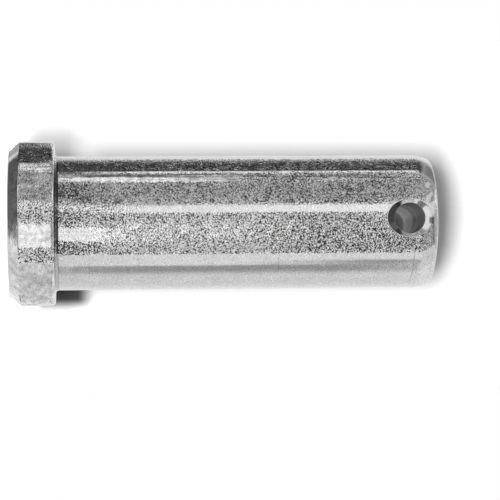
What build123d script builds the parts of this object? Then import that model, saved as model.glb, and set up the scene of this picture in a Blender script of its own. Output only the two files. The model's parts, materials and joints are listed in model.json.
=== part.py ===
from build123d import *
import math
import os

# Headed clevis pin, one piece of steel, millimetres.
# The origin is the centre of the head's end face. +Z runs along the shank to the
# point, and the cross hole for the cotter runs along Y.

# Shank and head
SHANK_DIAMETER = 18.9          # runs free in a 3/4 in clevis
GRIP_LENGTH = 53.2             # underside of the head to the end of the point
HEAD_DIAMETER = 23.2
HEAD_HEIGHT = 6.35
HEAD_CHAMFER_RADIAL = 1.4      # bevel round the end face of the head
HEAD_CHAMFER_AXIAL = 1.5
CHAMFER_EDGE_ROUND = 0.25      # both edges of that bevel
HEAD_UNDERSIDE_ROUND = 0.45    # outer edge of the bearing face
UNDER_HEAD_FILLET = 0.55       # shank to bearing face

# Point: a long soft arc off the shank, then a small round onto the flat end
POINT_LENGTH = 2.4
POINT_ARC_RADIUS = 5.2
POINT_EDGE_ROUND = 0.45

# Cross hole for the cotter, opened at both ends by a 118 degree drill
HOLE_DIAMETER = 4.25
HOLE_FROM_TIP = 4.0
COUNTERSINK_RADIUS = 3.3       # measured along the shank, at the surface
COUNTERSINK_HALF_ANGLE = 59.0

shank_radius = SHANK_DIAMETER / 2
head_radius = HEAD_DIAMETER / 2
hole_radius = HOLE_DIAMETER / 2
total_length = HEAD_HEIGHT + GRIP_LENGTH
hole_height = total_length - HOLE_FROM_TIP


def corner(builder, radius, height):
    """The profile's vertex nearest to (radius, height)."""
    return min(builder.vertices(), key=lambda v: math.hypot(v.X - radius, v.Y - height))


def pin_profile():
    """Half section of the turned pin: X is the radius and Y the height."""
    arc_start = total_length - POINT_LENGTH
    arc_turn = math.degrees(math.asin(POINT_LENGTH / POINT_ARC_RADIUS))
    end_radius = shank_radius - POINT_ARC_RADIUS * (1 - math.cos(math.radians(arc_turn)))
    bevel_radius = head_radius - HEAD_CHAMFER_RADIAL
    with BuildSketch() as section:
        with BuildLine():
            Polyline(
                (0, total_length),
                (0, 0),
                (bevel_radius, 0),
                (head_radius, HEAD_CHAMFER_AXIAL),
                (head_radius, HEAD_HEIGHT),
                (shank_radius, HEAD_HEIGHT),
                (shank_radius, arc_start),
            )
            CenterArc((shank_radius - POINT_ARC_RADIUS, arc_start), POINT_ARC_RADIUS, 0, arc_turn)
            Line((end_radius, total_length), (0, total_length))
        make_face()
        for radius, height, rounding in (
            (bevel_radius, 0, CHAMFER_EDGE_ROUND),
            (head_radius, HEAD_CHAMFER_AXIAL, CHAMFER_EDGE_ROUND),
            (head_radius, HEAD_HEIGHT, HEAD_UNDERSIDE_ROUND),
            (shank_radius, HEAD_HEIGHT, UNDER_HEAD_FILLET),
            (end_radius, total_length, POINT_EDGE_ROUND),
        ):
            fillet(corner(section, radius, height), rounding)
    return section.sketch


def turned_blank():
    """The pin as it leaves the header: head, shank and point, with no cross hole."""
    return revolve(Plane.XZ * pin_profile(), Axis.Z)


def cross_hole():
    """The drill's way through the shank, with a cone at each end."""
    cone_slope = math.tan(math.radians(COUNTERSINK_HALF_ANGLE))
    cone_depth = (COUNTERSINK_RADIUS - hole_radius) / cone_slope
    run_out = 2.0
    mouth_radius = COUNTERSINK_RADIUS + run_out * cone_slope
    along_y = Plane(origin=(0, 0, hole_height), x_dir=(1, 0, 0), z_dir=(0, -1, 0))
    tool = along_y * Cylinder(hole_radius, SHANK_DIAMETER + 2 * run_out)
    cone_height = cone_depth + run_out
    cone_centre = shank_radius - cone_depth + cone_height / 2
    cone = Pos(0, 0, cone_centre) * Cone(hole_radius, mouth_radius, cone_height)
    for turn in (0, 180):
        tool += along_y * Rot(turn, 0, 0) * cone
    return tool


def clevis_pin():
    return turned_blank() - cross_hole()


os.makedirs("parts", exist_ok=True)
export_step(clevis_pin(), "parts/clevis_pin.step")
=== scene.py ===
"""The looks of the clevis pin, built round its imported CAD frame.

The pin stands on its head with the shank along +Z and the cotter hole along Y.
One dense mesh carries the plated surface; the camera lies on its side in front of it.
Sizes named here are millimetres and angles are degrees; Blender gets metres.
"""
import json
import math

import bpy
import numpy as np
from mathutils import Matrix, Vector


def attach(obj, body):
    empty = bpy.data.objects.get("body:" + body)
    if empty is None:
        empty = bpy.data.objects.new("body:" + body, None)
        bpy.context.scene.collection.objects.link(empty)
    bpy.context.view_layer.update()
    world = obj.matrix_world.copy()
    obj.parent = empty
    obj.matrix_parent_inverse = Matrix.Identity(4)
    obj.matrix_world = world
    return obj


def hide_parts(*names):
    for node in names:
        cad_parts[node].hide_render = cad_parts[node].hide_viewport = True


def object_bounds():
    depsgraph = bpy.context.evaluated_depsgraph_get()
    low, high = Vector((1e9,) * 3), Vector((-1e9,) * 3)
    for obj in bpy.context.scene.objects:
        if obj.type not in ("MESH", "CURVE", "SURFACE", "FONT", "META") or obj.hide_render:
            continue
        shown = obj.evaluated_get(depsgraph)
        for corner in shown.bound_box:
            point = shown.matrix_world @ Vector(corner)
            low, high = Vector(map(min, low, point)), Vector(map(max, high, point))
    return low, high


MM = 0.001
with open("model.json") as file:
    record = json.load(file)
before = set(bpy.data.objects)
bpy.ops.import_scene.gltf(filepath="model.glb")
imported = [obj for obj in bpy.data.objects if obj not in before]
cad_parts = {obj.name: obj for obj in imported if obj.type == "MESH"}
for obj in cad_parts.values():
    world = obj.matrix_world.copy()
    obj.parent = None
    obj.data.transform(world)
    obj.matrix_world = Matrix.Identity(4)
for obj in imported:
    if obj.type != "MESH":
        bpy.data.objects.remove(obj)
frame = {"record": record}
cad_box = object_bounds()
mounts = {m["name"]: m for m in frame["record"]["mounts"]}

# Sizes read from the frame
HEAD_RADIUS = cad_box[1].x / MM
LENGTH = cad_box[1].z / MM
SHANK_RADIUS = mounts["shank"]["dims"]["r_mm"]
HEAD_HEIGHT = mounts["head_underside"]["pos_m"][2] / MM
HOLE_RADIUS = mounts["cotter_hole"]["dims"]["r_mm"]
HOLE_HEIGHT = mounts["cotter_hole"]["pos_m"][2] / MM
HOLE_WALL_END = mounts["cotter_hole"]["dims"]["length_mm"] / 2

# Edge forms, as the CAD has them
CHAMFER_RADIAL = 1.4
CHAMFER_AXIAL = 1.5
CHAMFER_ROUND = 0.25
UNDERSIDE_ROUND = 0.45
FILLET = 0.55
POINT_LENGTH = 2.4
POINT_ARC = 5.2
POINT_ROUND = 0.45
COUNTERSINK_HALF_ANGLE = 59.0

# Mesh density
COLUMNS = 256
ROW_STEP = 0.25                 # between rows on the rim and the shank
FLANK_STEP = 0.3                # on the bevel and under the head
BORE_STEP = 0.35
FACE_STEP = 0.5                 # on the two flat ends
FAN_RADIUS = 0.4                # the triangles in the middle of each flat end
EDGE_SUPPORT = 0.07             # from an edge to the first row beside it
SAME_POINT = 1e-6               # points closer than this are one
MOUTH_COLUMNS = 16              # half width of the opening left round each hole mouth
MOUTH_BELOW = 4.3               # and how far it reaches below the hole's axis
MOUTH_LIP = 0.05                # half width of the soft edge round the countersink
MOUTH_HALVINGS = 40             # steps of the search for the countersink's rim
# Rings from the opening's border to the countersink's rim, and from there down its cone
MOUTH_SHARES = (0, 0.2, 0.42, 0.64, 0.82, 0.94, 1)
CONE_SHARES = (0, 0.2, 0.4, 0.6, 0.8, 1)

# What each vertex lies on. The mesh keeps it as in_hole, and the plating fades from zone to
# zone: start and full, or from, to and softness.
ON_PIN = 0.0
ON_LIP = 0.25
ON_CONE = 0.5
IN_BORE = 1.0
CUT_FADE = (0.05, 0.3)
BORE_FADE = (0.6, 1.0)
LIP_WINDOW = (0.12, 0.38, 0.2)
CONE_WINDOW = (0.44, 0.56, 0.1)

# Waviness of the headed and drawn blank
WAVES = 24
WAVE_HEIGHT = 0.002
WAVE_LENGTHS = (4.0, 14.0)
WAVE_SINK = 2.5                 # the mean surface lies this many wave heights inside the form
WAVE_SEED = 7

# Size of what each noise in the plating draws
GRAIN_SIZE = 0.2
WANDER_SIZE = 0.5               # the ragged edges of the strips
TEAR_SIZE = 0.7
MOTTLE_SIZE = 0.8
NICK_SIZE = 0.9
NICK_GROUP_SIZE = 1.1
GLOSS_SIZE = 1.1
PATCH_SIZE = 1.3                # patches with less and with more grain
SWELL_SIZE = 1.3
STAIN_SIZE = 1.6
CLOUD_SIZE = 2.0
# How each is drawn: squeezed or stretched along the pin, twisted, or moved aside
GRAIN_SQUEEZE = 1.25            # the grain is this much finer along the pin
GRAIN_TWIST = 0.7
STAIN_SQUEEZE = 0.3             # the stains are drawn out along it
NICK_TWIST = 1.2
WANDER = 2.0                    # degrees by which a strip's edge wanders
BORE_WANDER = 0.8               # millimetres by which a ring in the bore wanders
# Where a noise begins to draw its mark, and where the mark is full
PATCH_LIMITS = (0.38, 0.56)
TEAR_LIMITS = (0.52, 0.57)
NICK_LINE = (0.06, 0.01)
NICK_GROUPS = (0.50, 0.58)
NICK_GRAIN = (0.1, 0.4)         # nicks show only where the plating is grainy

# Relief of the plating
GRAIN_HEIGHT = 0.038
LEAST_HEIGHT = 0.003            # of the grain, where the plating is smooth
SWELL_HEIGHT = 0.01
NICK_DEPTH = 0.025
BURR_HEIGHT = 0.03

# Lightness of the plating, and what each mark adds to it
TONE = 0.74
TONE_LIMITS = (0.07, 0.98)
GRAIN_CONTRAST = 13.0
CLOUD_TONE = 0.10
STAIN_TONE = 0.12
# the countersink's lip is lighter, as worn plating and as a painted highlight on its edge
LIP_WEAR_AND_HIGHLIGHT = 0.2
BURR_TONE = 0.5
# In the grain the mottle and the clouds count for more, and all of it is a little lighter
CLUSTERS = 2.0
CLOUDS = 1.2
LIFT = 0.1

# Gloss. The bore, which the plating hardly reaches, and the torn metal scatter more light,
# and both are as rough as the countersink's lip.
ROUGHNESS = 0.04
ROUGHNESS_SPREAD = 0.08
DULL_ROUGHNESS = 0.45
SCATTER = 0.75

# Drawing left strips along the blank, some burnished and some grainy. Each has its angle
# round the pin from, to and softness (and the softness of its far side where that differs),
# the same for its height, and its share of grain. Angle 0 faces -Y and grows towards +X.
ALL = (-180, 180, 0.1)
SHANK = (HEAD_HEIGHT, LENGTH - POINT_LENGTH, 0.6, 1.0)
RIM = (CHAMFER_AXIAL, HEAD_HEIGHT, 0.2)
LEAST_GRAIN = 0.035             # outside every strip
SMOOTH_SHARE = 0.5              # of the strip's grain, in its smooth patches
ROUGH_SHARE = 1.3               # and in its rough ones
GRAIN_STRIPS = (
    ((-5, 30, 1), SHANK, 1.0),
    ((6, 19, 4), (HEAD_HEIGHT, 15, 0.5, 9), 0.05),
    ((-43.5, -12.2, 1), SHANK, 0.27),
    ((-67, -43.5, 2, 1), SHANK, 0.7),
    ((-67, -47, 2), (HEAD_HEIGHT, 16, 0.5, 10), 0.3),
    ((-47.5, -43.5, 0.5), SHANK, 0.12),
    ((-12.2, -5, 2), (HEAD_HEIGHT, 15, 0.5, 9), 0.45),
    ((-42.5, -34, 0.8), (HEAD_HEIGHT, 32, 0.5, 4), 0.06),
    ((90, 152, 9), SHANK, 0.26),
    ((-178, -128, 9), SHANK, 0.26),
    ((-120, -100, 7), SHANK, 0.25),
    ((19, 30, 2), RIM, 0.8),
    ((-12, 3, 4), RIM, 0.4),
    ((4, 19, 3), RIM, 0.04),
    ((-43, -12, 6), RIM, 0.12),
    ((-70, -43, 3), RIM, 0.35),
    ((70, 150, 9), RIM, 0.18),
    ((-170, -90, 9), RIM, 0.18),
)
# Where the grainy plating is lighter on the whole and where it is darker: angle, height and
# lift
LIFTS = (
    ((-44, -13, 4), ALL, -0.1),
    ((0, 24, 8), (13, 36, 8, 12), 0.95),
    ((20, 30, 5), (12, 38, 5, 12), 0.5),
    ((18, 30, 4), (HEAD_HEIGHT, 12, 0.3, 4), -0.4),
    ((14, 30, 5), (38, 56, 8, 2), -0.35),
)
# Strips where the grain stands less high: angle, height and share of the height
SHALLOW_STRIPS = (
    ((-49, -42.5, 1), ALL, 0.15),
    ((-42.5, -33.5, 1), ALL, 0.1),
)
# Where the plating is light and dark in patches: angle, height and strength
MOTTLED = (
    (ALL, (0.4, HEAD_HEIGHT, 0.8, 0.2), 0.65),
    ((-44, -13, 3), (HEAD_HEIGHT, 56, 0.2, 3), 0.6),
    ((14, 31, 4, 1), (HEAD_HEIGHT, 56, 0.2, 3), 0.5),
)
# Nicks carry a painted highlight, and are dark in the smooth plating
NICK_HIGHLIGHT = 0.45
DARK_NICKS = (
    ((31, 78, 3), ALL, -0.14),
)
# Painted shade in the corner under the head, all round and darker on the camera's side
CORNER_SHADE = 0.35
CORNER_SOFT = 0.15
CORNER_BELOW = 0.1              # how far it reaches below the underside
CORNER_REACH = (1.2, 0.9)       # from the shank, where it begins and where it is full
CORNER_SHADE_SIDES = (
    ((-60, 28, 10), ALL, 0.8),
)
# Painted shade on the countersink's lower flank
FLANK_SHADE = 0.88
FLANK_DROPS = (0.9, 1.5)        # below the hole's axis, where it begins and where it is full
# Scraped metal where the drill broke out near the point: angle and height
BURR = ((-34, -6, 6), (57.9, 59.3, 0.4))
# Darker marks in the plating: angle and height, and how dark
SCORES = (
    # thin rings scored round the shank
    ((32, 70, 20), (56.15, 56.25, 0.12), 0.26),
    ((32, 60, 20), (58.8, 58.9, 0.12), 0.18),
    ((34, 60, 20), (11.0, 11.1, 0.12), 0.18),
    ((31, 44, 6), (17.8, 17.9, 0.12), 0.16),
    ((34, 50, 12), (37.2, 37.3, 0.12), 0.16),
    # a streak along it
    ((37, 42, 4), (45.0, 55.0, 8, 2), 0.16),
    # a dark spot by the hole
    ((-0.5, 5.0, 2), (58.2, 58.8, 0.3), 0.55),
    # darker patches just above the head, with a faint patch further along
    ((-31, -16, 6), (6.6, 11.0, 0.3, 5), 0.45),
    ((-44, -13, 5), (37, 52, 9, 4), 0.1),
    ((-7, 6, 5), (6.6, 9.5, 0.3, 4), 0.50),
    ((18, 30, 5), (6.6, 8.2, 0.3, 1.5), 0.60),
)
# Plating thins towards the middle of the cotter hole and leaves rings, and the hole's darkness is
# also painted shade: distance from the pin's axis from, to and softness, and brightness
BORE_TONE = 0.28
BORE_RINGS = (
    ((1.2, 2.9, 0.5), ALL, 0.5),
    ((-1, 1.2, 0.5), ALL, 0.14),
    ((3.8, 4.4, 0.4), ALL, 0.45),
)

# Fineness and strength of the room's clutter
CLUTTER_WIDTH = 3.0
CLUTTER_DEPTH = 1.0
CLUTTER_CONTRAST = 8.0
STUDIO_LIMITS = (0.04, 1.35)    # the darkest and the brightest reflection

# The backdrop: the places of its folds across the pin, and its tones
BACKDROP_FOLDS = (-26, -2.6, 2.6, 24)
BACKDROP_FOLD = 0.09            # slope of the two outer parts
BACKDROP_HEIGHT = 74
BACKDROP_CLEARANCE = 0.02
BACKDROP_COLOUR = 0.45
# Painted shadow in the gap beside the head, and painted glow standing in for the light that the
# pin throws back on two places, by their windows across the backdrop and along it
GAP_SHADOW_COLOUR = 0.035
GAP_SHADOW = ((6, 11.4, 1, 2), (4, 10.9, 1, 3.2))
PAINTED_BOUNCE_BESIDE = 0.15
BESIDE_HEAD = ((-12.2, -8, 3, 1), (4, 12, 1, 5))
PAINTED_BOUNCE_BEHIND = 0.35
BEHIND_SHANK_FADE = (9.4, 5.5)  # from the middle, where it begins and where it is full
BEHIND_SHANK_ALONG = (10, 58, 6, 5)
HOLE_SPOT_RISE = 2              # over the hole's axis, the middle of the spot left unlit
HOLE_SPOT_SQUARES = (5.5, 12)   # squares of the radii where its edge begins and ends

# The floor and the lamps. The directions point from the pin to each lamp.
FLOOR_REACH = 400
FLOOR_COLOUR = 0.35
FLOOR_GLOW = 0.78
KEY_TOWARD = (math.tan(math.radians(7)), -1, -math.tan(math.radians(15)))
KEY_TARGET = (0, 0, 30)
KEY_DISTANCE = 400
KEY_SIZE = (190, 80)
KEY_POWER = 4.0
FLOOR_LAMP_TOWARD = (0.02, 0.0, 1)
FLOOR_LAMP_TARGET = (0, 0, 0)
FLOOR_LAMP_DISTANCE = 500
FLOOR_LAMP_SIZE = (260, 260)
FLOOR_LAMP_POWER = 9.0

# The photograph's camera
CAMERA_DISTANCE = 264.6
CAMERA_TURN = 3.09
CAMERA_HEIGHT = 10.41
CAMERA_AIM = (3.95, 0.16, 33.95)
CAMERA_ROLL = -0.45
CAMERA_LENS = 134.1
CAMERA_CLIP = (1, 10000)
SENSOR = 36.0


# ---------------------------------------------------------------- profile
def run(start, end, step=ROW_STEP):
    """Points and normals along a straight flank, close at both ends so that edges stay crisp."""
    start, end = np.array(start, float), np.array(end, float)
    length = np.linalg.norm(end - start)
    inner = max(1, round((length - 2 * EDGE_SUPPORT) / step))
    along = [0, *np.linspace(EDGE_SUPPORT, length - EDGE_SUPPORT, inner + 1), length]
    normal = np.array([end[1] - start[1], start[0] - end[0]]) / length
    return [(start + (end - start) * (a / length), normal) for a in along]


def bend(centre, radius, first, last, count, inward=False):
    """Points and normals along a round; angles run from +radius towards +height."""
    points = []
    for angle in np.radians(np.linspace(first, last, count + 1)):
        out = np.array([math.cos(angle), math.sin(angle)])
        points.append((np.array(centre) + radius * out, -out if inward else out))
    return points


def profile():
    """Half section from the head's end face to the point's, as rows of (point, normal).

    The marks say at which row each of its pieces begins.
    """
    slope = math.degrees(math.atan2(CHAMFER_AXIAL, CHAMFER_RADIAL))
    setback = CHAMFER_ROUND * math.tan(math.radians(slope / 2))
    top_setback = CHAMFER_ROUND * math.tan(math.radians((90 - slope) / 2))
    flank = np.array([math.cos(math.radians(slope)), math.sin(math.radians(slope))])
    low = np.array([HEAD_RADIUS - CHAMFER_RADIAL, 0.0])
    high = np.array([HEAD_RADIUS, CHAMFER_AXIAL])
    arc_start = LENGTH - POINT_LENGTH
    arc_centre = (SHANK_RADIUS - POINT_ARC, arc_start)
    # the round at the very end touches the long arc inside and the flat end
    round_height = LENGTH - POINT_ROUND
    reach = POINT_ARC - POINT_ROUND
    rise = round_height - arc_start
    round_centre = (arc_centre[0] + math.sqrt(reach**2 - rise**2), round_height)
    meet = math.degrees(math.asin(rise / reach))

    pieces = {
        "end_face": run((FAN_RADIUS, 0), (low[0] - setback, 0), FACE_STEP),
        "chamfer": (
            bend((low[0] - setback, CHAMFER_ROUND), CHAMFER_ROUND, -90, slope - 90, count=4)
            + run(low + flank * setback, high - flank * top_setback, FLANK_STEP)
            + bend((HEAD_RADIUS - CHAMFER_ROUND, CHAMFER_AXIAL + top_setback), CHAMFER_ROUND,
                   slope - 90, 0, count=4)
        ),
        "rim": run((HEAD_RADIUS, CHAMFER_AXIAL + top_setback),
                   (HEAD_RADIUS, HEAD_HEIGHT - UNDERSIDE_ROUND)),
        "shoulder": (
            bend((HEAD_RADIUS - UNDERSIDE_ROUND, HEAD_HEIGHT - UNDERSIDE_ROUND),
                 UNDERSIDE_ROUND, 0, 90, count=7)
            + run((HEAD_RADIUS - UNDERSIDE_ROUND, HEAD_HEIGHT),
                  (SHANK_RADIUS + FILLET, HEAD_HEIGHT), FLANK_STEP)
            + bend((SHANK_RADIUS + FILLET, HEAD_HEIGHT + FILLET), FILLET, -90, -180, count=8,
                   inward=True)
        ),
        "shank": run((SHANK_RADIUS, HEAD_HEIGHT + FILLET), (SHANK_RADIUS, arc_start)),
        "point": bend(arc_centre, POINT_ARC, 0, meet, count=12),
        "edge": bend(round_centre, POINT_ROUND, meet, 90, count=8),
        "tip_face": run((round_centre[0], LENGTH), (FAN_RADIUS, LENGTH), FACE_STEP),
    }
    rows = []
    marks = {}
    for name, points in pieces.items():
        marks[name] = len(rows)
        for point, normal in points:
            if rows and np.linalg.norm(point - rows[-1][0]) < SAME_POINT:
                continue
            rows.append((point, normal))
    return rows, marks


# ---------------------------------------------------------------- hole mouths
def shank_radius_at(height):
    """Radius of the shank or of the point's long arc at a height."""
    above = np.maximum(np.asarray(height, float) - (LENGTH - POINT_LENGTH), 0)
    return SHANK_RADIUS - POINT_ARC + np.sqrt(POINT_ARC**2 - above**2)


def shank_slope_at(height):
    """Normal of the same surface, as (outward, upward)."""
    above = np.maximum(np.asarray(height, float) - (LENGTH - POINT_LENGTH), 0)
    rise = above / POINT_ARC
    return np.sqrt(1 - rise**2), rise


def mouth_radius(turn):
    """Distance from the hole's axis to the countersink's rim, at each turn about that axis.

    It is found by halving the span between the bore and a ring of twice its radius.
    """
    spread = math.tan(math.radians(COUNTERSINK_HALF_ANGLE))
    low, high = np.full_like(turn, HOLE_RADIUS), np.full_like(turn, 2 * HOLE_RADIUS)
    for _ in range(MOUTH_HALVINGS):
        middle = (low + high) / 2
        radius = shank_radius_at(HOLE_HEIGHT + middle * np.cos(turn))
        depth = np.sqrt(radius**2 - (middle * np.sin(turn)) ** 2)
        inside = HOLE_RADIUS + (depth - HOLE_WALL_END) * spread > middle
        low, high = np.where(inside, middle, low), np.where(inside, high, middle)
    return low


def on_surface(across, height):
    """Point and normal of the shank's near side, from arc length across it and height."""
    angle = across / SHANK_RADIUS
    radius = shank_radius_at(height)
    out, up = shank_slope_at(height)
    point = np.stack([radius * np.sin(angle), -radius * np.cos(angle), height], axis=-1)
    normal = np.stack([out * np.sin(angle), -out * np.cos(angle), up], axis=-1)
    return point, normal


def mouth_rings(border):
    """Rings from a border of (across, height) points to the bore, on the hole's near side.

    Each ring is (points, normals, zone). The turns about the hole's axis come with them; they
    lie halfway between those of the border's points and even ones.
    """
    turn = np.unwrap(np.arctan2(border[:, 0], border[:, 1] - HOLE_HEIGHT))
    even = turn[0] + np.arange(len(turn)) * 2 * math.pi / len(turn)
    turn = 0.5 * turn + 0.5 * even
    rim = mouth_radius(turn)

    def around(radius):
        height = HOLE_HEIGHT + radius * np.cos(turn)
        across = SHANK_RADIUS * np.arcsin(radius * np.sin(turn) / shank_radius_at(height))
        return np.stack([across, height], axis=-1)

    rings = []
    lip = around(rim + MOUTH_LIP)
    for share in MOUTH_SHARES:
        flat = border * (1 - share) + lip * share
        rings.append((*on_surface(flat[:, 0], flat[:, 1]), ON_PIN))

    spread = math.tan(math.radians(COUNTERSINK_HALF_ANGLE))
    tilt = math.radians(90 - COUNTERSINK_HALF_ANGLE)
    toward = np.stack([-np.sin(turn), np.zeros_like(turn), -np.cos(turn)], axis=-1)
    facing = np.array([0.0, -1.0, 0.0])
    cone_normal = math.cos(tilt) * facing + math.sin(tilt) * toward

    def cone(radius):
        depth = HOLE_WALL_END + (radius - HOLE_RADIUS) / spread
        return np.stack([radius * np.sin(turn), -depth, HOLE_HEIGHT + radius * np.cos(turn)],
                        axis=-1)

    # the crest is rounded: halfway from the sharp rim to the rings on each side of it
    surface_point, surface_normal = rings[-1][0], rings[-1][1]
    inner = cone(rim - MOUTH_LIP)
    crest = cone(rim) * 0.5 + (surface_point + inner) * 0.25
    rings.append((crest, (surface_normal + cone_normal) / 2, ON_LIP))
    for share in CONE_SHARES:
        radius = (rim - MOUTH_LIP) * (1 - share) + (HOLE_RADIUS + MOUTH_LIP) * share
        rings.append((cone(radius), cone_normal, ON_CONE))
    return rings, turn


def bore_rings(turn):
    """Rings down the bore, from its near end to its far end."""
    rings = []
    toward = np.stack([-np.sin(turn), np.zeros_like(turn), -np.cos(turn)], axis=-1)
    depths = run((0, -HOLE_WALL_END), (0, HOLE_WALL_END), BORE_STEP)
    for (_, depth), _ in depths:
        points = -toward * HOLE_RADIUS
        points[:, 1] = depth
        points[:, 2] += HOLE_HEIGHT
        rings.append((points, toward, IN_BORE))
    return rings


# ---------------------------------------------------------------- surface relief
def relief(points, zone):
    """Height of the waves over the nominal form, fading out towards the hole's lip."""
    rng = np.random.default_rng(WAVE_SEED)
    height = np.zeros(len(points))
    for _ in range(WAVES):
        direction = rng.normal(size=3)
        direction *= 2 * math.pi / (np.linalg.norm(direction) * rng.uniform(*WAVE_LENGTHS))
        height += np.sin(points @ direction + rng.uniform(0, 2 * math.pi))
    height *= WAVE_HEIGHT / math.sqrt(WAVES / 2)
    return (height - WAVE_SINK * WAVE_HEIGHT) * np.maximum(1 - zone / ON_LIP, 0)


# ---------------------------------------------------------------- mesh
def put(name, data):
    """A new object in the scene, made from its data."""
    holder = bpy.data.objects.new(name, data)
    bpy.context.scene.collection.objects.link(holder)
    return holder


def pin_mesh():
    """The whole plated surface as one closed mesh with the cross hole open."""
    rows, marks = profile()
    columns = np.arange(COLUMNS)
    angle = 2 * math.pi * columns / COLUMNS
    ring = np.stack([np.sin(angle), -np.cos(angle)], axis=-1)
    points, normals, zones, faces = [], [], [], []

    def add(point, normal, zone):
        first = sum(len(p) for p in points)
        points.append(point)
        normals.append(normal)
        zones.append(np.full(len(point), zone))
        return np.arange(first, first + len(point))

    grid = []
    for (radius, height), (out, up) in rows:
        point = np.column_stack([radius * ring, np.full(COLUMNS, height)])
        normal = np.column_stack([out * ring, np.full(COLUMNS, up)])
        grid.append(add(point, normal, ON_PIN))

    first_row = next(i for i, (p, _) in enumerate(rows)
                     if i > marks["shank"] and p[1] > HOLE_HEIGHT - MOUTH_BELOW)
    last_row = marks["edge"] - 1
    half = COLUMNS // 2
    for i in range(len(rows) - 1):
        for j in range(COLUMNS):
            near = (j + MOUTH_COLUMNS) % half < 2 * MOUTH_COLUMNS
            if near and first_row <= i < last_row:
                continue
            k = (j + 1) % COLUMNS
            faces.append((grid[i][j], grid[i][k], grid[i + 1][k], grid[i + 1][j]))

    # border of the opening, clockwise from the top left as seen from outside
    top = [(last_row, j) for j in range(-MOUTH_COLUMNS, MOUTH_COLUMNS)]
    right = [(i, MOUTH_COLUMNS) for i in range(last_row, first_row, -1)]
    bottom = [(first_row, j) for j in range(MOUTH_COLUMNS, -MOUTH_COLUMNS, -1)]
    left = [(i, -MOUTH_COLUMNS) for i in range(first_row, last_row)]
    border = top + right + bottom + left
    outline = np.array([(2 * math.pi * j / COLUMNS * SHANK_RADIUS, rows[i][0][1])
                        for i, j in border])
    rings, turn = mouth_rings(outline)
    mirror = np.array([1, -1, 1])
    near_side = [np.array([grid[i][j % COLUMNS] for i, j in border])]
    near_side += [add(*r) for r in rings[1:]]
    bore = [add(*r) for r in bore_rings(turn)]
    far_side = [np.array([grid[i][(half - j) % COLUMNS] for i, j in border])]
    far_side += [add(p * mirror, n * mirror, z) for p, n, z in rings[1:]]
    tube = near_side + bore + far_side[::-1]
    for outer, inner in zip(tube, tube[1:]):
        for m in range(len(border)):
            n = (m + 1) % len(border)
            faces.append((outer[m], inner[m], inner[n], outer[n]))

    # centres of the two flat ends
    for row, height, up in ((0, 0.0, -1.0), (-1, LENGTH, 1.0)):
        centre = add(np.array([[0, 0, height]]), np.array([[0, 0, up]]), ON_PIN)[0]
        for j in range(COLUMNS):
            k = (j + 1) % COLUMNS
            pair = (grid[row][j], grid[row][k])
            faces.append((centre, *(pair if up > 0 else pair[::-1])))

    points, normals = np.concatenate(points), np.concatenate(normals)
    zones = np.concatenate(zones)
    points = points + normals * relief(points, zones)[:, None]
    # the grid's points inside the two openings are left out
    used = np.unique(np.concatenate([np.array(f) for f in faces]))
    renumber = np.full(len(points), -1)
    renumber[used] = np.arange(len(used))
    mesh = bpy.data.meshes.new("clevis_pin_plated")
    mesh.from_pydata((points[used] * MM).tolist(), [],
                     [[int(renumber[v]) for v in f] for f in faces])
    mesh.shade_smooth()
    hole = mesh.attributes.new("in_hole", "FLOAT", "POINT")
    hole.data.foreach_set("value", zones[used].astype(np.float32))
    mesh.validate(verbose=True)
    return mesh


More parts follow.
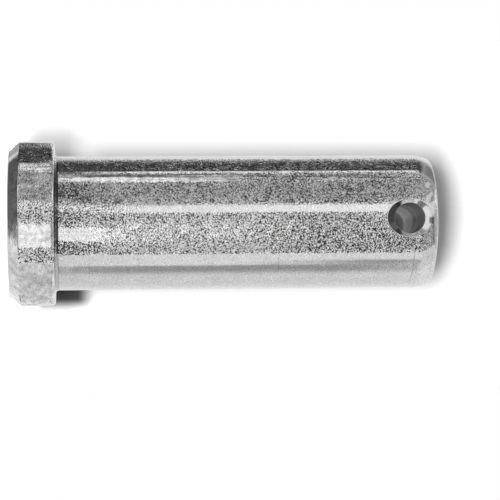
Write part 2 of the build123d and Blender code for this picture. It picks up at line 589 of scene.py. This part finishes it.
# ---------------------------------------------------------------- node helpers
class Nodes:
    """A few short names for building shader nodes."""

    def __init__(self, tree):
        self.tree = tree
        tree.nodes.clear()

    def add(self, kind, **settings):
        """A new node of a kind, with its settings."""
        node = self.tree.nodes.new("ShaderNode" + kind)
        for name, value in settings.items():
            setattr(node, name, value)
        return node

    def join(self, source, target):
        """Links an output to an input."""
        self.tree.links.new(source, target)

    def feed(self, socket, value):
        """Sets a socket to a number or joins another node's output to it."""
        if isinstance(value, bpy.types.NodeSocket):
            self.join(value, socket)
        else:
            socket.default_value = value

    def math(self, operation, *values):
        """The result of a Math node for these values."""
        node = self.add("Math", operation=operation)
        for socket, value in zip(node.inputs, values):
            self.feed(socket, value)
        return node.outputs[0]

    def ease(self, value, start, end):
        """0 at start, 1 at end, and smooth between them."""
        node = self.add("MapRange", interpolation_type="SMOOTHSTEP")
        for name, number in (("Value", value), ("From Min", start), ("From Max", end)):
            self.feed(node.inputs[name], number)
        return node.outputs["Result"]

    def window(self, value, start, end, soft, soft_end=None):
        """1 between start and end, fading over soft round each limit."""
        soft_end = soft if soft_end is None else soft_end
        low = self.ease(value, start - soft / 2, start + soft / 2)
        high = self.ease(value, end + soft_end / 2, end - soft_end / 2)
        return self.math("MULTIPLY", low, high)

    def blend(self, share, below, above):
        """The first value at share 0 and the second at share 1."""
        node = self.add("Mix", data_type="FLOAT")
        self.feed(node.inputs[0], share)
        self.feed(node.inputs[2], below)
        self.feed(node.inputs[3], above)
        return node.outputs[0]

    def noise(self, vector, scale, detail=2.0, roughness=0.5, distortion=0.0):
        """Noise between 0 and 1."""
        node = self.add("TexNoise")
        self.join(vector, node.inputs["Vector"])
        node.inputs["Scale"].default_value = scale
        node.inputs["Detail"].default_value = detail
        node.inputs["Roughness"].default_value = roughness
        node.inputs["Distortion"].default_value = distortion
        return node.outputs[0]

    def around(self, vector, scale, detail=2.0, roughness=0.5, distortion=0.0):
        """Noise less its mean, about -0.5 to 0.5."""
        noise = self.noise(vector, scale, detail, roughness, distortion)
        return self.math("SUBTRACT", noise, 0.5)

    def stretched(self, vector, share):
        """The same places with the height scaled."""
        node = self.add("Mapping")
        node.inputs["Scale"].default_value = (1, 1, share)
        self.join(vector, node.inputs["Vector"])
        return node.outputs[0]

    def split(self, vector):
        """The three parts of a vector."""
        node = self.add("SeparateXYZ")
        self.join(vector, node.inputs[0])
        return node.outputs

    def heading(self, x, y):
        """Degrees round the pin's axis: 0 faces -Y, and they grow towards +X."""
        turn = self.math("ARCTAN2", x, self.math("MULTIPLY", y, -1.0))
        return self.math("MULTIPLY", turn, math.degrees(1))

    def grey(self, value):
        """The grey colour of a value."""
        node = self.add("CombineColor")
        for socket in node.inputs:
            self.join(value, socket)
        return node.outputs[0]


# ---------------------------------------------------------------- materials
def fineness(size):
    """The scale at which a noise draws things of a size in millimetres."""
    return 1 / (size * MM)


def paint(nodes, value, panels, across, upward=None):
    """Blends panels over a value, one after another.

    Each is (window across, window upward or ALL, new value).
    """
    for side, rise, level in panels:
        inside = nodes.window(across, *side)
        if rise != ALL:
            inside = nodes.math("MULTIPLY", inside, nodes.window(upward, *rise))
        value = nodes.blend(inside, value, level)
    return value


def nicks(nodes, place):
    """1 on thin curved marks left by handling and tumbling, in scattered groups."""
    line = nodes.around(place, fineness(NICK_SIZE), detail=0.0, distortion=NICK_TWIST)
    line = nodes.ease(nodes.math("ABSOLUTE", line), *NICK_LINE)
    group = nodes.ease(nodes.noise(place, fineness(NICK_GROUP_SIZE), detail=1.0), *NICK_GROUPS)
    return nodes.math("MULTIPLY", line, group)


class Place:
    """Where each bit of the plating is, and the noises that its parts share."""

    def __init__(self, nodes):
        self.point = nodes.add("TexCoord").outputs["Object"]
        x, y, z = nodes.split(self.point)
        self.angle = nodes.heading(x, y)
        wander = nodes.around(self.point, fineness(WANDER_SIZE), detail=1.0)
        self.ragged = nodes.math("MULTIPLY_ADD", wander, WANDER, self.angle)
        self.height = nodes.math("DIVIDE", z, MM)
        self.depth = nodes.math("DIVIDE", nodes.math("ABSOLUTE", y), MM)
        square = nodes.math("MULTIPLY_ADD", y, y, nodes.math("MULTIPLY", x, x))
        self.radius = nodes.math("DIVIDE", nodes.math("SQRT", square), MM)
        in_hole = nodes.add("Attribute", attribute_name="in_hole").outputs["Fac"]
        self.bored = nodes.ease(in_hole, *BORE_FADE)
        self.cut = nodes.ease(in_hole, *CUT_FADE)
        self.lip = nodes.window(in_hole, *LIP_WINDOW)
        self.cone = nodes.window(in_hole, *CONE_WINDOW)
        squeezed = nodes.stretched(self.point, GRAIN_SQUEEZE)
        self.fine = nodes.around(squeezed, fineness(GRAIN_SIZE), detail=0.0,
                                 distortion=GRAIN_TWIST)
        self.cloud = nodes.around(self.point, fineness(CLOUD_SIZE), detail=3.0, roughness=0.6)
        self.mottle = nodes.around(self.point, fineness(MOTTLE_SIZE), detail=1.0)


def graininess(nodes, at):
    """How grainy each place is: by strips along the blank, in patches, and never in the hole."""
    grainy = paint(nodes, LEAST_GRAIN, GRAIN_STRIPS, at.ragged, at.height)
    patchy = nodes.ease(nodes.noise(at.point, fineness(PATCH_SIZE), detail=2.0), *PATCH_LIMITS)
    grainy = nodes.math("MULTIPLY", grainy, nodes.blend(patchy, SMOOTH_SHARE, ROUGH_SHARE))
    return nodes.math("MULTIPLY", grainy, nodes.math("SUBTRACT", 1.0, at.cut))


def scraped(nodes, at):
    """1 on the torn metal where the drill broke out."""
    across, upward = BURR
    burr = nodes.math("MULTIPLY", nodes.window(at.angle, *across),
                      nodes.window(at.height, *upward))
    torn = nodes.ease(nodes.noise(at.point, fineness(TEAR_SIZE), detail=0.0), *TEAR_LIMITS)
    return nodes.math("MULTIPLY", burr, torn)


def flank_shade(nodes, at):
    """1 on the countersink's lower flank, where shade is painted."""
    drop, full_drop = FLANK_DROPS
    low = nodes.ease(at.height, HOLE_HEIGHT - drop, HOLE_HEIGHT - full_drop)
    return nodes.math("MULTIPLY", at.cone, low)


def corner_shade(nodes, at):
    """How much painted shade darkens the plating in the corner under the head."""
    reach, full_reach = CORNER_REACH
    under = nodes.window(at.height, HEAD_HEIGHT - CORNER_BELOW, HEAD_HEIGHT + FILLET, CORNER_SOFT)
    beside = nodes.ease(at.radius, SHANK_RADIUS + reach, SHANK_RADIUS + full_reach)
    corner = nodes.math("MULTIPLY", under, beside)
    return nodes.math("MULTIPLY", corner, paint(nodes, CORNER_SHADE, CORNER_SHADE_SIDES, at.angle))


def plating_tone(nodes, at, grainy, nick, burr):
    """How light the plating is: grain, clouds, drawn stains, scores and painted shade in the corner
    under the head.
    """
    spot = nodes.math("MULTIPLY", nodes.math("MULTIPLY", at.fine, grainy), GRAIN_CONTRAST)
    tone = nodes.math("MULTIPLY_ADD", at.cloud, CLOUD_TONE, nodes.math("ADD", spot, TONE))
    lift = paint(nodes, LIFT, LIFTS, at.ragged, at.height)
    clump = nodes.math("MULTIPLY_ADD", at.mottle, CLUSTERS, lift)
    clump = nodes.math("MULTIPLY_ADD", at.cloud, CLOUDS, clump)
    tone = nodes.math("MULTIPLY_ADD", clump, nodes.math("MINIMUM", grainy, 1.0), tone)

    stain = nodes.around(nodes.stretched(at.point, STAIN_SQUEEZE), fineness(STAIN_SIZE),
                         detail=2.0, roughness=0.55)
    tone = nodes.math("MULTIPLY_ADD", stain, STAIN_TONE, tone)
    # painted highlights on the nicks
    nick_tone = paint(nodes, NICK_HIGHLIGHT, DARK_NICKS, at.angle)
    tone = nodes.math("MULTIPLY_ADD", nick, nick_tone, tone)
    patches = nodes.math("ADD", at.mottle, at.cloud)
    mottled = paint(nodes, 0.0, MOTTLED, at.angle, at.height)
    tone = nodes.math("MULTIPLY_ADD", patches, mottled, tone)
    # worn plating and a painted highlight on the countersink's lip
    tone = nodes.math("MULTIPLY_ADD", at.lip, LIP_WEAR_AND_HIGHLIGHT, tone)

    # painted shade on the countersink's lower flank and in the corner under the head
    flank = nodes.math("MULTIPLY_ADD", flank_shade(nodes, at), -FLANK_SHADE, 1.0)
    tone = nodes.math("MULTIPLY", tone, flank)
    tone = nodes.math("MULTIPLY", tone, nodes.math("SUBTRACT", 1.0, corner_shade(nodes, at)))
    tone = nodes.math("MULTIPLY_ADD", burr, BURR_TONE, tone)
    tone = nodes.math("SUBTRACT", tone, paint(nodes, 0.0, SCORES, at.ragged, at.height))
    darkest, lightest = TONE_LIMITS
    tone = nodes.math("MAXIMUM", nodes.math("MINIMUM", tone, lightest), darkest)
    # in the bore, thinner plating and painted shade in the hole
    depth = nodes.math("MULTIPLY_ADD", at.cloud, BORE_WANDER, at.depth)
    return nodes.blend(at.bored, tone, paint(nodes, BORE_TONE, BORE_RINGS, depth))


def plating_relief(nodes, at, grainy, nick, burr):
    """Height of the plating in millimetres: grain, nicks, torn metal and a slow swell."""
    shallow = paint(nodes, 1.0, SHALLOW_STRIPS, at.ragged, at.height)
    deep = nodes.math("MULTIPLY_ADD", grainy, GRAIN_HEIGHT, LEAST_HEIGHT)
    deep = nodes.math("MULTIPLY_ADD", burr, BURR_HEIGHT, nodes.math("MULTIPLY", deep, shallow))
    relief = nodes.math("MULTIPLY", at.fine, deep)
    relief = nodes.math("MULTIPLY_ADD", nick, -NICK_DEPTH, relief)
    swell = nodes.around(at.point, fineness(SWELL_SIZE), detail=0.0)
    return nodes.math("MULTIPLY_ADD", swell, SWELL_HEIGHT, relief)


def zinc_plate():
    """Bright zinc over a drawn and headed blank: grainy, mottled, nicked and scratched."""
    material = bpy.data.materials.new("zinc_plate")
    material.use_nodes = True
    nodes = Nodes(material.node_tree)
    at = Place(nodes)
    grainy = graininess(nodes, at)
    nick = nodes.math("MULTIPLY", nicks(nodes, at.point), nodes.ease(grainy, *NICK_GRAIN))
    burr = scraped(nodes, at)
    surface = nodes.add("BsdfPrincipled")

    tone = plating_tone(nodes, at, grainy, nick, burr)
    nodes.join(nodes.grey(tone), surface.inputs["Base Color"])
    scatter = nodes.math("MULTIPLY", nodes.math("MAXIMUM", at.bored, burr), -SCATTER)
    nodes.join(nodes.math("ADD", scatter, 1.0), surface.inputs["Metallic"])

    gloss = nodes.noise(at.point, fineness(GLOSS_SIZE), detail=3.0, roughness=0.6)
    rough = nodes.math("MULTIPLY_ADD", gloss, ROUGHNESS_SPREAD, ROUGHNESS)
    dull = nodes.math("MAXIMUM", at.bored, nodes.math("MAXIMUM", burr, at.lip))
    nodes.join(nodes.blend(dull, rough, DULL_ROUGHNESS), surface.inputs["Roughness"])

    # the relief is in millimetres, so a height of 1 stands 1 mm high
    bump = nodes.add("Bump")
    bump.inputs["Strength"].default_value = 1.0
    bump.inputs["Distance"].default_value = MM
    nodes.join(plating_relief(nodes, at, grainy, nick, burr), bump.inputs["Height"])
    nodes.join(bump.outputs[0], surface.inputs["Normal"])
    out = nodes.add("OutputMaterial")
    nodes.join(surface.outputs[0], out.inputs["Surface"])
    return material


# ---------------------------------------------------------------- studio
# What the pin reflects, painted in this order over plain white walls. Each panel has an
# azimuth from, to and softness (and the softness of its far side where that differs), the
# same for its elevation, and a brightness. Azimuth 0 is the camera's side and grows
# towards +X; elevation 90 is overhead.
WALLS = 0.86
PANELS = (
    # right of the camera: a large soft box and a wall that brightens away from it
    ((78.5, 140, 4, 30), (-90, 12, 10), 0.76),
    ((78.5, 96.5, 4, 17), (-1, 10, 1.5), 0.36),
    ((54.5, 78.5, 3), (-90, 14, 8), 0.85),
    ((46, 90, 20), (14, 90, 8), 0.75),
    ((70, 78.5, 2), (6.8, 14, 2), 0.5),
    ((55, 125, 3, 10), (-14, -1, 1), 0.68),
    # behind the camera: the room, with one bright patch low down
    ((-16, 54, 3), ALL, 0.18),
    ((-16, 54, 3), (-14, 6.5, 1.5), 0.85),
    ((38, 54, 10, 3), (-14, 5.5, 2), 0.30),
    ((0, 39, 14), (-14, 6.4, 4), 1.05),
    ((2, 37, 12), (1.6, 4.8, 1.2), 1.17),
    ((0, 33, 8), (-14, -1, 1), 0.88),
    ((-16, -3, 2, 5), (-14, 3, 4), 0.12),
    ((-16, -3, 2, 5), (-14, -1, 1), 0.72),
    ((36, 54, 5, 3), (-14, 2.2, 3), 0.08),
    ((34, 54, 5, 3), (-14, -1, 1), 0.85),
    # left of the camera: the dim side of the room and a narrow soft box
    ((-92, -31, 3), ALL, 0.36),
    ((-50, -28, 20, 3), (-0.2, 4.5, 3), 0.40),
    ((-30.5, -16, 3), (1.3, 14, 0.8, 8), 1.02),
    ((-38, -12, 14), (14, 50, 8), 0.85),
    ((-27.5, -19.5, 3), (-90, 1.3, 0.8), 1.02),
    ((-30, -17, 4), (-14, -1, 1), 0.70),
    # a black flag beyond it, with a bright gap along its edge
    ((-136, -93, 16, 2), (-90, 20, 14), 0.085),
    ((-134, -93, 26, 2), (20, 90, 14), 0.25),
    ((-119, -100.5, 3), (-90, 18, 12), 0.07),
    ((-93.5, -84, 1), (-0.5, 4.2, 1), 0.10),
    ((-99.5, -94, 1.5), (0.2, 12, 1.5), 0.9),
    ((-155, -98, 8, 2), (-14, -0.9, 0.8), 0.08),
    ((-92, -80, 3), (-14, -0.9, 0.8), 0.68),
    ((-86, -75.5, 2), (-0.9, 1, 0.8), 1.05),
    ((-84.5, -75.5, 1.5), (1, 3.9, 0.8), 1.1),
    ((-88, -72, 3), (3.9, 5.5, 0.8), 0.45),
    # behind the pin, below its own height
    ((128, 150, 6), (-27, -7, 3), 0.25),
    ((150, 173, 5), (-27, -7, 3), 0.95),
    ((173, 181, 5, 0.1), (-27, -7, 3), 0.45),
    ((-181, -150, 0.1, 6), (-27, -7, 3), 0.45),
    # cards over and under the pin
    ((-45, 45, 8), (-66, -35, 6), 0.95),
    ((-142, 93, 8, 16), (-95, -64, 6), 0.14),
    ((-146, -104, 6), (-66, -31, 5), 0.12),
    ((93, 180, 16, 8), (-95, -64, 6), 0.85),
    ((-40, 70, 12), (50, 80, 6), 0.55),
    ((-95, -40, 8), (50, 87, 5), 1.0),
    ((-78, -38, 6), (-58, -32, 5), 0.95),
)
# azimuth, elevation and strength of the clutter in the unlit parts of the room
CLUTTER = (
    ((-16, 54, 4), (-30, 45, 8), 0.4),
    ((-16, 54, 4), (4, 45, 4, 8), 1.0),
    ((-92, -31, 4), (-30, 45, 8), 0.5),
)


def studio():
    """White to the camera; soft boxes, flags and a cluttered dim room for the reflections."""
    world = bpy.data.worlds.new("studio")
    world.use_nodes = True
    nodes = Nodes(world.node_tree)
    turned = nodes.add("VectorRotate", rotation_type="Z_AXIS")
    nodes.join(nodes.add("TexCoord").outputs["Generated"], turned.inputs["Vector"])
    turned.inputs["Angle"].default_value = -math.radians(CAMERA_TURN)
    x, y, z = nodes.split(turned.outputs[0])
    azimuth = nodes.heading(x, y)
    elevation = nodes.math("MULTIPLY", nodes.math("ARCSINE", z), math.degrees(1))

    value = paint(nodes, WALLS, PANELS, azimuth, elevation)
    clutter = paint(nodes, 0.0, CLUTTER, azimuth, elevation)
    layers = nodes.add("CombineXYZ")
    nodes.join(nodes.math("DIVIDE", azimuth, CLUTTER_WIDTH), layers.inputs[0])
    nodes.join(nodes.math("DIVIDE", elevation, CLUTTER_DEPTH), layers.inputs[1])
    spots = nodes.around(layers.outputs[0], scale=1.0, detail=1.0)
    spots = nodes.math("MULTIPLY", spots, CLUTTER_CONTRAST)
    value = nodes.math("MULTIPLY_ADD", spots, clutter, value)
    darkest, brightest = STUDIO_LIMITS
    value = nodes.math("MAXIMUM", nodes.math("MINIMUM", value, brightest), darkest)

    reflected = nodes.add("Background")
    nodes.feed(reflected.inputs["Strength"], value)
    seen = nodes.add("Background")
    path = nodes.add("LightPath")
    mix = nodes.add("MixShader")
    nodes.join(path.outputs["Is Camera Ray"], mix.inputs[0])
    nodes.join(reflected.outputs[0], mix.inputs[1])
    nodes.join(seen.outputs[0], mix.inputs[2])
    for background in (reflected, seen):
        background.inputs["Color"].default_value = (1, 1, 1, 1)
    out = nodes.add("OutputWorld")
    nodes.join(mix.outputs[0], out.inputs["Surface"])
    bpy.context.scene.world = world


def paper(name, colour, glow, painted=None):
    """White paper, clear from behind so that it never hides the pin.

    Painted joins what varies over the paper to its colour and glow.
    """
    material = bpy.data.materials.new(name)
    material.use_nodes = True
    nodes = Nodes(material.node_tree)
    front = nodes.add("BsdfDiffuse")
    front.inputs["Color"].default_value = (colour, colour, colour, 1)
    light = nodes.add("Emission")
    light.inputs["Strength"].default_value = glow
    if painted:
        painted(nodes, front.inputs["Color"], light.inputs["Strength"])
    both = nodes.add("AddShader")
    nodes.join(front.outputs[0], both.inputs[0])
    nodes.join(light.outputs[0], both.inputs[1])
    mix = nodes.add("MixShader")
    nodes.join(nodes.add("NewGeometry").outputs["Backfacing"], mix.inputs[0])
    nodes.join(both.outputs[0], mix.inputs[1])
    nodes.join(nodes.add("BsdfTransparent").outputs[0], mix.inputs[2])
    out = nodes.add("OutputMaterial")
    nodes.join(mix.outputs[0], out.inputs["Surface"])
    return material


def painted_shade_and_bounce(nodes, colour, glow):
    """Paints the backdrop.

    It has a painted shadow in the gap beside the head on one side of the shank, and a painted
    glow for the light that the plating throws back on the paper beside the head and behind the
    shank.
    """
    x, _, z = nodes.split(nodes.add("TexCoord").outputs["Object"])
    across = nodes.math("DIVIDE", x, MM)
    along = nodes.math("DIVIDE", z, MM)

    def spot(area):
        return nodes.math("MULTIPLY", nodes.window(across, *area[0]), nodes.window(along, *area[1]))

    # painted shadow in the gap beside the head
    nodes.join(nodes.grey(nodes.blend(spot(GAP_SHADOW), BACKDROP_COLOUR, GAP_SHADOW_COLOUR)), colour)

    beside_head = spot(BESIDE_HEAD)
    near_axis = nodes.ease(nodes.math("ABSOLUTE", across), *BEHIND_SHANK_FADE)
    behind_shank = nodes.math("MULTIPLY", near_axis, nodes.window(along, *BEHIND_SHANK_ALONG))
    # the painted glow leaves out the paper straight behind the cotter hole
    rise = nodes.math("SUBTRACT", along, HOLE_HEIGHT + HOLE_SPOT_RISE)
    square = nodes.math("MULTIPLY_ADD", rise, rise, nodes.math("MULTIPLY", across, across))
    behind_shank = nodes.math("MULTIPLY", behind_shank, nodes.ease(square, *HOLE_SPOT_SQUARES))
    # painted glow standing in for light thrown back by the plating
    painted_bounce = nodes.math("MULTIPLY_ADD", beside_head, PAINTED_BOUNCE_BESIDE,
                        nodes.math("MULTIPLY", behind_shank, PAINTED_BOUNCE_BEHIND))
    nodes.join(painted_bounce, glow)


def sheet(name, low, high, material):
    """A stage sheet that the pin's metal does not mirror and that shades nothing.

    Low and high are the points along two opposite edges.
    """
    count = len(low)
    mesh = bpy.data.meshes.new(name)
    mesh.from_pydata([Vector(c) * MM for c in (*low, *high)], [],
                     [(i, i + 1, count + i + 1, count + i) for i in range(count - 1)])
    mesh.materials.append(material)
    holder = put(name, mesh)
    holder.visible_glossy = False
    holder.visible_diffuse = False
    holder.visible_shadow = False
    return holder


def lamp(name, toward, target, distance, size, power, only):
    """A soft box that lights one stage sheet and leaves the metal alone."""
    light = bpy.data.lights.new(name, "AREA")
    light.shape = "RECTANGLE"
    light.size = size[0] * MM
    light.size_y = size[1] * MM
    light.energy = power
    holder = put(name, light)
    way = Vector(toward).normalized()
    holder.location = (Vector(target) + way * distance) * MM
    holder.rotation_euler = way.to_track_quat("Z", "Y").to_euler()
    holder.visible_glossy = False
    lit = bpy.data.collections.new(name + "_lights")
    lit.objects.link(only)
    holder.light_linking.receiver_collection = lit


def stage():
    """The sheet that the photographed pin lies on, and a floor under it as it stands here."""
    rest_low, rest_high = (HEAD_RADIUS, HEAD_HEIGHT), (SHANK_RADIUS, LENGTH - POINT_LENGTH)
    slope = (rest_high[0] - rest_low[0]) / (rest_high[1] - rest_low[1])

    def behind(height):
        return rest_low[0] + slope * (height - rest_low[1]) + BACKDROP_CLEARANCE

    # both sides are folded a little toward the camera, so that the sheet is clear from there
    flat = BACKDROP_FOLDS[2]
    folds = [(x, -BACKDROP_FOLD * max(abs(x) - flat, 0)) for x in BACKDROP_FOLDS]
    back = sheet("backdrop",
                 [(x, behind(0) + forward, 0) for x, forward in folds],
                 [(x, behind(BACKDROP_HEIGHT) + forward, BACKDROP_HEIGHT) for x, forward in folds],
                 paper("backdrop_paper", BACKDROP_COLOUR, 0.0, painted_shade_and_bounce))
    wide = FLOOR_REACH
    floor = sheet("floor",
                  [(-wide, -wide, 0), (wide, -wide, 0)],
                  [(-wide, wide, 0), (wide, wide, 0)],
                  paper("floor_paper", FLOOR_COLOUR, FLOOR_GLOW))
    lamp("backdrop_lamp", KEY_TOWARD, KEY_TARGET, KEY_DISTANCE, KEY_SIZE, KEY_POWER, back)
    lamp("floor_lamp", FLOOR_LAMP_TOWARD, FLOOR_LAMP_TARGET, FLOOR_LAMP_DISTANCE, FLOOR_LAMP_SIZE,
         FLOOR_LAMP_POWER, floor)


def camera():
    """The photograph's view: level with the head, turned on its side, +Z to the right."""
    turn, roll = math.radians(CAMERA_TURN), math.radians(CAMERA_ROLL)
    eye = Vector((CAMERA_DISTANCE * math.sin(turn), -CAMERA_DISTANCE * math.cos(turn),
                  CAMERA_HEIGHT))
    ahead = (Vector(CAMERA_AIM) - eye).normalized()
    right = Vector((0, 0, 1))
    right = (right - ahead * right.dot(ahead)).normalized()
    up = right.cross(ahead)
    tilted_right = right * math.cos(roll) + up * math.sin(roll)
    tilted_up = up * math.cos(roll) - right * math.sin(roll)
    lens = bpy.data.cameras.new("camera")
    lens.sensor_width = SENSOR
    lens.lens = CAMERA_LENS
    lens.clip_start = CAMERA_CLIP[0] * MM
    lens.clip_end = CAMERA_CLIP[1] * MM
    holder = put("camera", lens)
    axes = Matrix((tilted_right, tilted_up, -ahead)).transposed().to_4x4()
    holder.matrix_world = Matrix.Translation(eye * MM) @ axes
    bpy.context.scene.camera = holder


def build():
    """The plated pin with its studio, stage and camera."""
    mesh = pin_mesh()
    pin = put("clevis_pin_plated", mesh)
    mesh.materials.append(zinc_plate())
    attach(pin, "root")
    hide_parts("clevis_pin")
    studio()
    stage()
    camera()
    bpy.context.scene.view_settings.view_transform = "Standard"


build()
